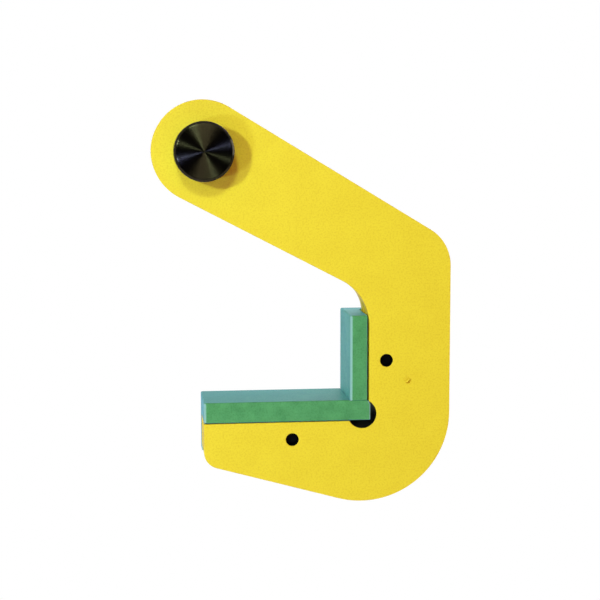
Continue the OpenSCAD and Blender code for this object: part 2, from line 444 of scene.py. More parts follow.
@dataclass(frozen=True)
class PlainMetal:
    """Bare or blackened metal with fine scratches along one axis."""

    name: str
    colour: Colour
    accent_colour: Colour
    roughness: Range
    scratch_size: float = 0.12 * MM
    scratch_stretch: Triple = (25, 1, 1)
    scratch_depth: float = 0.003 * MM
    stain_size: float = 4 * MM
    stain_range: Range = (0.35, 0.7)

    def material(self) -> Material:
        """Makes the metal.

        Returns:
            The material.
        """
        shader = Shader(self.name, {"Metallic": 1.0})
        scratches = shader.grain(self.scratch_size, stretch=self.scratch_stretch)
        stains = shader.spread(shader.grain(self.stain_size, detail=4.0), self.stain_range)
        shader.relief(scratches, self.scratch_depth)
        return shader.finish(
            Base_Color=shader.blend(stains, self.colour, self.accent_colour),
            Roughness=shader.spread(scratches, NOISE_RANGE, self.roughness),
        )


WELD_PAINT = YellowPaint("weld_paint", roughness=(0.43, 0.53), peel_size=0.9 * MM, cut_depth=0)
# Screw colours set near black so the screw ends deep in their holes look shaded: black oxide and painted
# shade
SCREW_STEEL = PlainMetal(
    "black_screw_steel",
    colour=(0.003, 0.003, 0.004, 1),
    accent_colour=(0.014, 0.013, 0.013, 1),
    roughness=(0.33, 0.46),
)
SPRING_STEEL = PlainMetal(
    "spring_steel",
    colour=(0.3, 0.3, 0.32, 1),
    accent_colour=(0.42, 0.41, 0.4, 1),
    roughness=(0.25, 0.38),
)
PLATE_METAL = PlainMetal(
    "plate_metal",
    colour=(0.72, 0.73, 0.74, 1),
    accent_colour=(0.62, 0.63, 0.64, 1),
    roughness=(0.31, 0.44),
)
RIVET_METAL = PlainMetal(
    "rivet_metal",
    colour=(0.62, 0.62, 0.63, 1),
    accent_colour=(0.5, 0.5, 0.5, 1),
    roughness=(0.25, 0.38),
)


def rounded(corners: Sequence[Rounding], steps: int = 4) -> list[Point]:
    """Draws a line with rounded corners.

    Args:
        corners: Its corners, as (radius, y, rounding).
        steps: Stretches in each round.

    Returns:
        Points as (radius, y).
    """
    line: list[Point] = []
    for index, (radius, y, rounding) in enumerate(corners):
        corner = Vector((radius, y))
        if not rounding:
            line.append((radius, y))
            continue
        before = (Vector(corners[index - 1][:2]) - corner).normalized()
        after = (Vector(corners[(index + 1) % len(corners)][:2]) - corner).normalized()
        half = before.angle(after) / 2
        centre = corner + (before + after).normalized() * rounding / math.sin(half)
        start = corner + before * rounding / math.tan(half) - centre
        end = corner + after * rounding / math.tan(half) - centre
        turn = start.angle(end)
        for step in range(steps + 1):
            share = step / steps
            spoke = start * math.sin((1 - share) * turn) + end * math.sin(share * turn)
            line.append(tuple(centre + spoke / math.sin(turn)))
    return line


def loft(rings: Sequence[Sequence[Vector]], closed: bool = False) -> Solid:
    """Skins rings of points.

    Args:
        rings: The rings, of equal length, or of one point where the skin closes.
        closed: Whether the last ring joins the first. Otherwise the ends are flat.

    Returns:
        The closed solid.
    """
    shape = bmesh.new()
    rows = [[shape.verts.new(point) for point in ring] for ring in rings]
    followers = rows[1:] + rows[:1] if closed else rows[1:]
    for lower, upper in zip(rows, followers):
        count = max(len(lower), len(upper))
        for index in range(count):
            after = (index + 1) % count
            below = [lower[index % len(lower)], lower[after % len(lower)]]
            above = [upper[after % len(upper)], upper[index % len(upper)]]
            shape.faces.new(dict.fromkeys(below + above))
    if not closed:
        for row in (rows[0], rows[-1]):
            if len(row) > 2:
                shape.faces.new(row)
    bmesh.ops.recalc_face_normals(shape, faces=shape.faces)
    return shape


def prism(section: Sequence[Vector], along: Vector) -> Solid:
    """Returns the straight bar that a section sweeps when it moves along a way."""
    return loft([section, [point + along for point in section]])


def bar_along_x(section: Sequence[Point], start: float, end: float) -> Solid:
    """Returns a bar from one x to another, from its section as (y, z)."""
    return loft([[Vector((x, y, z)) for y, z in section] for x in (start, end)])


def half_steps(count: int) -> list[float]:
    """Returns even angles round a circle, half a step off the other circles' points."""
    return [math.tau * (index + 0.5) / count for index in range(count)]


def circle(radius: float, y: float, segments: int, at: Point = (0, 0)) -> list[Vector]:
    """Draws a circle about an axis along Y.

    Args:
        radius: Its radius.
        y: Its place along the axis.
        segments: Stretches round the axis.
        at: The axis's place, as (x, z).

    Returns:
        Its points, or its centre alone where it has no radius.
    """
    if radius <= TOUCH:
        return [Vector((at[0], y, at[1]))]
    angles = [math.tau * index / segments for index in range(segments)]
    return [Vector((at[0] + radius * math.cos(a), y, at[1] + radius * math.sin(a))) for a in angles]


def turned(
    line: Sequence[Point], segments: int, at: Point = (0, 0), closed: bool = False
) -> Solid:
    """Turns a line about an axis along Y.

    Args:
        line: Points as (radius, y).
        segments: Stretches round the axis.
        at: The axis's place, as (x, z).
        closed: Whether the line closes, as a ring's does.

    Returns:
        The solid.
    """
    return loft([circle(radius, y, segments, at) for radius, y in line], closed)


def solid_of(node: str) -> Solid:
    """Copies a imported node's solid, with each flat face made whole.

    Args:
        node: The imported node.

    Returns:
        The copy.
    """
    shape = bmesh.new()
    shape.from_mesh(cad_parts[node].data)
    bmesh.ops.remove_doubles(shape, verts=shape.verts, dist=TOUCH)
    bmesh.ops.dissolve_limit(shape, angle_limit=FLAT, verts=shape.verts, edges=shape.edges)
    return shape


def centre_of(node: str) -> Vector:
    """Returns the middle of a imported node's box."""
    low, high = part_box(node)
    return (Vector(low) + Vector(high)) / 2


def middle_of(edge: Edge) -> Vector:
    """Returns the middle of an edge."""
    return (edge.verts[0].co + edge.verts[1].co) / 2


class Workpiece:
    """A piece of the clamp while it is made."""

    def __init__(self, name: str, shape: Solid) -> None:
        """Starts a piece.

        Args:
            name: The piece's name.
            shape: Its solid, which is used up.
        """
        mesh = bpy.data.meshes.new(name)
        shape.to_mesh(mesh)
        shape.free()
        self.object = bpy.data.objects.new(name, mesh)
        bpy.context.scene.collection.objects.link(self.object)

    def modify(self, kind: str, **settings: object) -> None:
        """Runs a modifier on the piece's mesh.

        Args:
            kind: The modifier's type.
            settings: Its properties.
        """
        modifier = self.object.modifiers.new(kind, kind)
        for key, value in settings.items():
            setattr(modifier, key, value)
        graph = bpy.context.evaluated_depsgraph_get()
        made = bpy.data.meshes.new_from_object(self.object.evaluated_get(graph))
        self.object.modifiers.clear()
        self.object.data = made

    def soften(self, radius_of: Callable[[Edge], float], segments: int = 4) -> None:
        """Rounds the corners.

        Args:
            radius_of: Gives the radius of an edge.
            segments: Faces across each round.
        """
        shape = bmesh.new()
        shape.from_mesh(self.object.data)
        weights = shape.edges.layers.float.new("bevel_weight_edge")
        inner = [edge for edge in shape.edges if len(edge.link_faces) == 2]
        corners = [edge for edge in inner if edge.calc_face_angle() > CORNER]
        radii = [radius_of(edge) for edge in corners]
        widest = max(radii)
        for edge, radius in zip(corners, radii):
            edge[weights] = radius / widest
        shape.to_mesh(self.object.data)
        shape.free()
        self.modify(
            "BEVEL", limit_method="WEIGHT", width=widest, segments=segments, use_clamp_overlap=False
        )

    def cut(self, tool: Solid, work: Work = Work.CUT) -> None:
        """Cuts a tool's shape out of the piece, or joins it on.

        Args:
            tool: The tool's solid, which is used up.
            work: Which of the two is done.
        """
        helper = Workpiece("tool", tool).object
        self.modify("BOOLEAN", object=helper, operation=work.value, solver="EXACT")
        bpy.data.objects.remove(helper)

    def dress(
        self, body: Body, slot: Slot, materials: Sequence[Material], stands_for: str
    ) -> Piece:
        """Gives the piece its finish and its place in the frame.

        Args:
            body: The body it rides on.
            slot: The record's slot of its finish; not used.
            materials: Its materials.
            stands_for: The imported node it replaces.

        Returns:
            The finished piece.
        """
        mesh = self.object.data
        mesh.materials.clear()
        for material in materials:
            mesh.materials.append(material)
        mesh.shade_smooth()
        mesh.set_sharp_from_angle(angle=CORNER)
        self.object.modifiers.new("even_shading", "WEIGHTED_NORMAL").keep_sharp = True
        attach(self.object, body.value)
        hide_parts(stands_for)
        return self.object


@dataclass
class Bore:
    """A round hole along Y with a broken rim."""

    at: Point
    radius: float
    rim_r: float

    def holds(self, point: Vector) -> bool:
        """Returns whether a point is on the hole's wall or rim."""
        away = math.hypot(point.x - self.at[0], point.z - self.at[1])
        return away < self.radius + self.rim_r


@dataclass(frozen=True)
class Crescent:
    """A curved roll that is thin at its ends and half sunk in a face."""

    radius: float
    width: float
    reach: float
    arc: float
    steps: int
    sides: int = 16
    tip_r: float = 0.05 * MM

    def solid(self, centre: Vector, towards: float) -> Solid:
        """Makes the roll.

        Args:
            centre: The centre of its curve, on the face.
            towards: The angle of its middle.

        Returns:
            The closed solid.
        """
        rings = []
        turns = half_steps(self.sides)
        for step in range(self.steps + 1):
            share = 2 * step / self.steps - 1
            angle = towards + share * self.arc
            thick = 1 - share * share
            out = Vector((math.cos(angle), 0, math.sin(angle)))
            spoke_x = out * (thick * self.width / 2 + self.tip_r)
            spoke_y = Vector((0, thick * self.reach + self.tip_r, 0))
            middle = centre + out * self.radius
            rings.append([middle + spoke_x * math.cos(a) + spoke_y * math.sin(a) for a in turns])
        return loft(rings)


@dataclass
class Nick:
    """A small half-moon mark in the front face: a dent, a raised lip and a slot outside it."""

    at: Point = (132.1 * MM, -148.6 * MM)
    towards: float = math.radians(-47)
    dent_r: float = 2.6 * MM
    dent_depth: float = 0.57 * MM
    dent_sides: int = 36
    tilt: float = math.radians(11)
    clearance: float = 4 * MM
    lip: Crescent = Crescent(2.9 * MM, 1.5 * MM, 0.8 * MM, math.radians(46), steps=22)
    slot: Crescent = Crescent(3.9 * MM, 1.5 * MM, 1.6 * MM, math.radians(37), steps=17)

    def mark(self, piece: Workpiece, face_y: float) -> None:
        """Strikes the mark into a plate.

        Args:
            piece: The plate.
            face_y: The plane of its outer face.
        """
        centre = Vector((self.at[0], face_y, self.at[1]))
        piece.cut(self.dent(centre))
        piece.cut(self.lip.solid(centre, self.towards), Work.JOIN)
        piece.cut(self.slot.solid(centre, self.towards))

    def dent(self, centre: Vector) -> Solid:
        """Makes the tilted disc that strikes the face.

        Args:
            centre: The mark's centre, on the face.

        Returns:
            The closed solid.
        """
        inward = Vector((0, 1, 0))
        slide = Vector((math.cos(self.towards), 0, math.sin(self.towards)))
        hinge = inward.cross(slide)
        slope = math.tan(self.tilt)
        middle = centre + inward * (self.dent_depth - self.dent_r * slope)
        floor, above = [], []
        for angle in half_steps(self.dent_sides):
            across = self.dent_r * math.cos(angle)
            spot = middle + slide * across + hinge * self.dent_r * math.sin(angle)
            floor.append(spot + inward * across * slope)
            above.append(spot - inward * self.clearance)
        return loft([floor, above])


@dataclass
class HookBody:
    """The three plates of the hook-shaped body."""

    paint: Material
    # Near-black painted shade for the walls of the drilled holes
    hole_wall_shade: Material
    rim_r: float = 0.5 * MM
    inner_rim_r: float = 0.3 * MM
    hole_rim_r: float = 0.6 * MM
    seam_rim_r: float = 0.05 * MM
    relief_at: Point = (103.4 * MM, -172.4 * MM)
    relief_r: float = 9.5 * MM
    pin_bore_r: float = 13.05 * MM
    screw_bore_r: float = 5.05 * MM
    wall_slope: float = 0.3

    def bores(self) -> list[Bore]:
        """Finds the drilled holes of the body.

        Returns:
            The pin's bore, the relief hole and the screws' holes.
        """
        screws = [centre_of(node) for node in ("jaw_liner_screw", "upright_liner_screw")]
        holes = [((0, 0), self.pin_bore_r), (self.relief_at, self.relief_r)]
        holes += [((at.x, at.z), self.screw_bore_r) for at in screws]
        return [Bore(at, radius, self.hole_rim_r) for at, radius in holes]

    def build(self) -> Iterable[Piece]:
        """Makes the two cheeks and the core plate, which has no outer face.

        Yields:
            The finished plates.
        """
        front_y, rear_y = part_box("front_cheek")[0][1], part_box("rear_cheek")[1][1]
        front = self.plate("front_cheek", front_y)
        Nick().mark(front, front_y)
        yield self.painted(front, "front_cheek", front_y)
        yield self.painted(self.plate("rear_cheek", rear_y), "rear_cheek", rear_y)
        yield self.painted(self.plate("core_plate", math.inf), "core_plate", math.inf)

    def plate(self, node: str, outer_y: float) -> Workpiece:
        """Makes a plate with soft edges.

        Args:
            node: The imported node.
            outer_y: The plane of its outer face.

        Returns:
            The plate.
        """
        bores = self.bores()

        def radius_of(edge: Edge) -> float:
            """Gives an edge's radius by where it runs.

            Args:
                edge: The edge.

            Returns:
                The radius.
            """
            middle = middle_of(edge)
            outside = abs(middle.y - outer_y) < TOUCH
            if any(bore.holds(middle) for bore in bores):
                return self.hole_rim_r if outside else self.seam_rim_r
            across = abs(edge.verts[0].co.y - edge.verts[1].co.y) > TOUCH
            return self.rim_r if across or outside else self.inner_rim_r

        piece = Workpiece(node + "_painted", solid_of(node))
        piece.soften(radius_of)
        return piece

    def painted(self, piece: Workpiece, node: str, outer_y: float) -> Piece:
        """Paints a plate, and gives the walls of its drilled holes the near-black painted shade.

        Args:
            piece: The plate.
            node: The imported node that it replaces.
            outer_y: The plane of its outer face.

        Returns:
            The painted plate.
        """
        made = piece.dress(Body.HOOK, Slot.BODY_PAINT, [self.paint, self.hole_wall_shade], node)
        bores = self.bores()
        # Bore walls, and their rims between the plates, take the near-black painted shade
        for polygon in made.data.polygons:
            upright = abs(polygon.normal.y) < self.wall_slope
            inside = abs(polygon.center.y - outer_y) > 2 * self.hole_rim_r
            if (upright or inside) and any(bore.holds(polygon.center) for bore in bores):
                polygon.material_index = 1
        return made


@dataclass
class SeamWeld:
    """A weld of several beads side by side that fills the groove between the cheeks."""

    node: str
    paint: Material
    beads: int = 3
    ripple_pitch: float = 2.6 * MM
    ripple_height: float = 0.14 * MM
    ripple_bow: float = 0.8
    ripple_bluntness: float = 0.7
    lane_shift: float = 0.37
    dome: float = 0.42 * MM
    sunk: float = 0.28 * MM
    wander: float = 0.08 * MM
    wander_pitch: float = 9 * MM
    wander_lane: float = 5.0
    wander_shift: float = 0.5
    along_step: float = 0.45 * MM
    columns: int = 24

    def lines(self) -> tuple[list[Vector], list[Vector]]:
        """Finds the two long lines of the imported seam's section through the body.

        Returns:
            The face line and the root line, as points in the plane y = 0.
        """
        shape = solid_of(self.node)
        rear_faces = [face for face in shape.faces if face.normal.y > math.cos(CORNER)]
        side = max(rear_faces, key=lambda face: face.calc_area())
        points = [Vector((v.co.x, 0, v.co.z)) for v in side.verts]
        shape.free()
        count = len(points)
        ends = []
        for index in range(count):
            before = points[index] - points[index - 1]
            if before.angle(points[(index + 1) % count] - points[index]) > CORNER:
                ends.append(index)
        stretches = []
        for start, end in zip(ends, ends[1:] + [ends[0] + count]):
            stretches.append([points[index % count] for index in range(start, end + 1)])
        longest = sorted(stretches, key=length_of)[-2:]
        core = [Vector((v.co.x, 0, v.co.z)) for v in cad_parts["core_plate"].data.vertices]
        gaps = [min((line[len(line) // 2] - point).length for point in core) for line in longest]
        first, second = longest
        return (second, first) if gaps[0] < gaps[1] else (first, second)

    def height(self, along: float, across: float) -> float:
        """Gives the weld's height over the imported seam.

        Args:
            along: Distance along the seam.
            across: Place across it, from 0 to 1.

        Returns:
            The height.
        """
        lane = min(int(across * self.beads), self.beads - 1)
        side = 2 * (across * self.beads - lane) - 1
        drift = noise.noise(Vector((along / self.wander_pitch, self.wander_lane * lane, 0)))
        bow = self.ripple_bow * side * side
        phase = along / self.ripple_pitch + bow + self.lane_shift * lane + self.wander_shift * drift
        ripple = self.ripple_height * abs(math.sin(math.pi * phase)) ** self.ripple_bluntness
        return self.dome * (1 - side * side) - self.sunk + ripple + self.wander * drift

    def build(self) -> Iterable[Piece]:
        """Makes the weld.

        Yields:
            The finished weld.
        """
        face, root = self.lines()
        low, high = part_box(self.node)
        half, middle_y = (high[1] - low[1]) / 2, (high[1] + low[1]) / 2
        depth = min((face[len(face) // 2] - point).length for point in root)
        rings = []
        for along, place, way in walk(face, self.along_step):
            out = Vector((-way.z, 0, way.x))
            nearest = min(root, key=lambda point: (point - place).length)
            if out.dot(place - nearest) < 0:
                out.negate()
            ring = []
            for column in range(self.columns + 1):
                across = column / self.columns
                lift = out * self.height(along, across)
                ring.append(place + lift + Vector((0, middle_y + half * (2 * across - 1), 0)))
            for side in (1, -1):
                ring.append(place - out * depth + Vector((0, middle_y + side * half, 0)))
            rings.append(ring)
        piece = Workpiece(self.node + "_beads", loft(rings))
        yield piece.dress(Body.HOOK, Slot.WELD_PAINT, [self.paint], self.node)


def length_of(line: Sequence[Vector]) -> float:
    """Returns the length of a line of points."""
    return sum((b - a).length for a, b in zip(line, line[1:]))


def walk(line: Sequence[Vector], step: float) -> Iterable[tuple[float, Vector, Vector]]:
    """Walks along a line in even steps.

    Args:
        line: Its points.
        step: About the length of a step.

    Yields:
        The distance walked, the place there and the line's direction.
    """
    total = length_of(line)
    count = round(total / step)
    marks = [0.0]
    for a, b in zip(line, line[1:]):
        marks.append(marks[-1] + (b - a).length)
    stretch = 0
    for index in range(count + 1):
        along = total * index / count
        while stretch < len(line) - 2 and marks[stretch + 1] < along:
            stretch += 1
        start, end = line[stretch], line[stretch + 1]
        share = (along - marks[stretch]) / (marks[stretch + 1] - marks[stretch])
        near = [line[max(stretch - 1, 0)], start, end, line[min(stretch + 2, len(line) - 1)]]
        before, after = (near[2] - near[0]).normalized(), (near[3] - near[1]).normalized()
        yield along, start.lerp(end, share), before.lerp(after, share).normalized()


@dataclass
class Liner(ABC):
    """An angle of green plastic that keeps the pipe off the steel, screwed on by its flange."""

    node: str
    plastic: Material
    face_y: float = 17.5 * MM
    lead_r: float = 2.1 * MM
    edge_r: float = 1.1 * MM
    foot_r: float = 0.5 * MM
    inside_r: float = 0.4 * MM
    rebate: float = 0.5 * MM
    chamfer_w: float = 0.9 * MM
    chamfer_h: float = 2.5 * MM
    spare: float = 5 * MM
    hole_r: float = 5.05 * MM
    sink_r: float = 10.3 * MM
    sink_rim: float = 0.8 * MM
    sink_h: float = 6.1 * MM
    sink_edge_r: float = 0.3 * MM
    sink_segments: int = 64

    @abstractmethod
    def by_body(self, point: Vector) -> bool:
        """Returns whether a point of the front face is next to the body."""

    @abstractmethod
    def build(self) -> Iterable[Piece]:
        """Makes the liner."""

    def bar(self, section: Sequence[Vector], along: Vector) -> Workpiece:
        """Returns the straight bar that a section sweeps along a way."""
        return Workpiece(self.node + "_plastic", prism(section, along))

    def block(self, corners: Sequence[Point]) -> Solid:
        """Makes a block through the whole depth of the liner.

        Args:
            corners: Its corners, as (x, z).

        Returns:
            The block.
        """
        low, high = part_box(self.node)
        depths = (low[1] - self.spare, high[1] + self.spare)
        return loft([[Vector((x, y, z)) for x, z in corners] for y in depths])

    def bevel(self, corner: Vector, across: Vector, along: Vector) -> Solid:
        """Makes a wedge that takes off the front edge next to the body.

        Args:
            corner: A point of the edge, before its start.
            across: The way from the liner's front face to the body.
            along: From that point past the edge's end.

        Returns:
            The wedge.
        """
        front, slope = Vector((0, -1, 0)), Vector((0, self.chamfer_h, 0)) + across * self.chamfer_w
        foot = corner - across * self.chamfer_w
        section = [
            foot - slope,
            foot + 2 * slope,
            foot + 2 * slope + across * self.spare,
            foot - slope + (front + across) * self.spare,
        ]
        return prism(section, along)

    def radius_of(self, edge: Edge) -> float:
        """Gives an edge's radius by where it runs.

        Args:
            edge: The edge.

        Returns:
            The radius.
        """
        if not edge.is_convex:
            return self.inside_r
        foot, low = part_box("upright_liner")[0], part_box(self.node)[0]
        middle = middle_of(edge)
        at_foot = abs(middle.z - foot[2]) < self.rebate + TOUCH and middle.x > foot[0] - TOUCH
        in_front = middle.y < low[1] + TOUCH
        if at_foot or (in_front and self.by_body(middle)):
            return self.foot_r
        return self.lead_r if in_front and middle.x < low[0] + TOUCH else self.edge_r

    def sink(self, screw: str) -> Solid:
        """Makes the hole and countersink for a screw, with a broken edge.

        Args:
            screw: The screw's node.

        Returns:
            The shape to cut away.
        """
        at, high_y = centre_of(screw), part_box(self.node)[1][1]
        line = [
            (0, self.face_y - self.spare),
            (self.hole_r, self.face_y - self.spare),
            (self.hole_r, high_y - self.sink_h),
            (self.sink_r, high_y - self.sink_rim),
            (self.sink_r, high_y - self.sink_edge_r),
            (self.sink_r + self.sink_edge_r, high_y),
            (self.sink_r + self.sink_edge_r, high_y + self.spare),
            (0, high_y + self.spare),
        ]
        return turned(line, self.sink_segments, (at.x, at.z))

    def finish(self, piece: Workpiece) -> Piece:
        """Bores a liner for its screw and dresses it."""
        piece.cut(self.sink(self.node + "_screw"))
        return piece.dress(Body.HOOK, Slot.LINER_PLASTIC, [self.plastic], self.node)


@dataclass
class JawLiner(Liner):
    """The angle on the jaw, stepped for the upright's foot and slanted at its end."""

    pad_t: float = 14 * MM
    head_back: float = 1.4 * MM
    head_h: float = 2.6 * MM

    def by_body(self, point: Vector) -> bool:
        """Returns whether a point of the front face is next to the body."""
        return point.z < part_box(self.node)[1][2] - self.pad_t + TOUCH

    def build(self) -> Iterable[Piece]:
        """Makes the liner.

        Yields:
            The finished liner.
        """
        low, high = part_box(self.node)
        seat_z, foot = high[2] - self.pad_t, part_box("upright_liner")[0]
        profile = [
            (low[1], high[2]), (high[1], high[2]), (high[1], low[2]),
            (self.face_y, low[2]), (self.face_y, seat_z), (low[1], seat_z),
        ]
        length = Vector((high[0] - low[0], 0, 0))
        piece = self.bar([Vector((low[0], y, z)) for y, z in profile], length)
        head_z, above_z = foot[2] - self.head_h, foot[2] + self.spare
        back_x = high[0] - self.head_back * (above_z - head_z) / self.head_h
        beside_x = high[0] + self.spare
        slant = [(high[0], head_z), (back_x, above_z), (beside_x, above_z), (beside_x, head_z)]
        step = [(foot[0], foot[2]), (beside_x, foot[2]), (beside_x, above_z), (foot[0], above_z)]
        piece.cut(self.block(slant))
        piece.cut(self.block(step))
        piece.soften(self.radius_of)
        edge_start = Vector((low[0] - self.spare, low[1], seat_z))
        piece.cut(self.bevel(edge_start, Vector((0, 0, -1)), 2 * length))
        yield self.finish(piece)


@dataclass
class UprightLiner(Liner):
    """The upright angle, whose foot is let into the jaw's liner."""

    pad_t: float = 12 * MM

    def by_body(self, point: Vector) -> bool:
        """Returns whether a point of the front face is next to the body."""
        return point.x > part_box(self.node)[0][0] + self.pad_t - TOUCH

    def build(self) -> Iterable[Piece]:
        """Makes the liner too long, rounds its edges and cuts its foot.

        Yields:
            The finished liner.
        """
        low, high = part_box(self.node)
        start_z, back_x = low[2] - self.spare, low[0] + self.pad_t
        profile = [
            (low[0], low[1]), (low[0], high[1]), (high[0], high[1]),
            (high[0], self.face_y), (back_x, self.face_y), (back_x, low[1]),
        ]
        height = Vector((0, 0, high[2] - start_z))
        piece = self.bar([Vector((x, y, start_z)) for x, y in profile], height)
        piece.soften(self.radius_of)
        edge_start = Vector((back_x, low[1], start_z - self.spare))
        piece.cut(self.bevel(edge_start, Vector((1, 0, 0)), 2 * height))
        piece.cut(self.block([
            (low[0] - self.spare, low[2] + self.rebate + self.spare),
            (low[0] + self.rebate, low[2]),
            (high[0] + self.spare, low[2]),
            (high[0] + self.spare, start_z - self.spare),
            (low[0] - self.spare, start_z - self.spare),
        ]))
        piece.cut(self.seam(low))
        yield self.finish(piece)

    def seam(self, low: Sequence[float]) -> Solid:
        """Makes a wedge that breaks the front edge of the foot.

        Args:
            low: The lowest corner of the liner's box.

        Returns:
            The wedge.
        """
        y, z, broken = low[1], low[2], self.foot_r
        section = [
            (y - broken, z - broken),
            (y - broken, z + 2 * broken),
            (y + 2 * broken, z - broken),
        ]
        return bar_along_x(section, low[0] - self.spare, low[0] + self.pad_t + PAST)


@dataclass
class LinerScrew:
    """A countersunk socket screw with a cut thread."""

    node: str
    steel: Material
    thread_d: float = 10 * MM
    thread_pitch: float = 1.5 * MM
    thread_depth: float = 0.8 * MM
    flank_slope: float = 2.5
    head_d: float = 20 * MM
    head_rim: float = 0.8 * MM
    rim_edge_r: float = 0.2 * MM
    face_edge_r: float = 0.25 * MM
    socket_r: float = 3.45 * MM
    socket_sides: int = 6
    socket_depth: float = 3.6 * MM
    tip_r: float = 4.2 * MM
    segments: int = 48
    rows_per_turn: int = 10

    def thread(self, at: Vector, start_y: float, neck_y: float) -> list[list[Vector]]:
        """Makes the thread, chamfered at its start.

        Args:
            at: A point of the screw's axis.
            start_y: Where the thread starts.
            neck_y: Where it meets the head.

        Returns:
            Its rings.
        """
        thread_r = self.thread_d / 2
        rings = []
        for row in range(math.ceil((neck_y - start_y) / self.thread_pitch * self.rows_per_turn) + 1):
            y = min(start_y + row * self.thread_pitch / self.rows_per_turn, neck_y)
            limit = min(thread_r, self.tip_r - self.thread_depth / 2 + (y - start_y))
            ring = []
            for index in range(self.segments):
                angle = math.tau * index / self.segments
                phase = (y / self.thread_pitch - angle / math.tau) % 1
                flank = min(1.0, self.flank_slope * (0.5 - abs(phase - 0.5)))
                radius = min(limit, thread_r - self.thread_depth * flank)
                x, z = at.x + radius * math.cos(angle), at.z + radius * math.sin(angle)
                ring.append(Vector((x, y, z)))
            rings.append(ring)
        return rings

    def build(self) -> Iterable[Piece]:
        """Makes the screw.

        Yields:
            The finished screw.
        """
        low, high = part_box(self.node)
        middle = centre_of(self.node)
        at = (middle.x, middle.z)
        thread_r, head_r = self.thread_d / 2, self.head_d / 2
        neck_y = high[1] - self.head_rim - (head_r - thread_r)
        head = rounded([
            (thread_r, neck_y, 0),
            (head_r, high[1] - self.head_rim, self.rim_edge_r),
            (head_r, high[1], self.face_edge_r),
            (self.socket_r, high[1], 0),
            (0, high[1], 0),
        ])
        rings = [circle(0, low[1], self.segments, at), *self.thread(middle, low[1], neck_y)]
        rings += [circle(radius, y, self.segments, at) for radius, y in head]
        piece = Workpiece(self.node + "_threaded", loft(rings))
        floor_y, above_y = high[1] - self.socket_depth, high[1] + PAST
        socket = [(0, floor_y - PAST), (self.socket_r, floor_y), (self.socket_r, above_y), (0, above_y)]
        piece.cut(turned(socket, self.socket_sides, at))
        yield piece.dress(Body.HOOK, Slot.SCREW_STEEL, [self.steel], self.node)


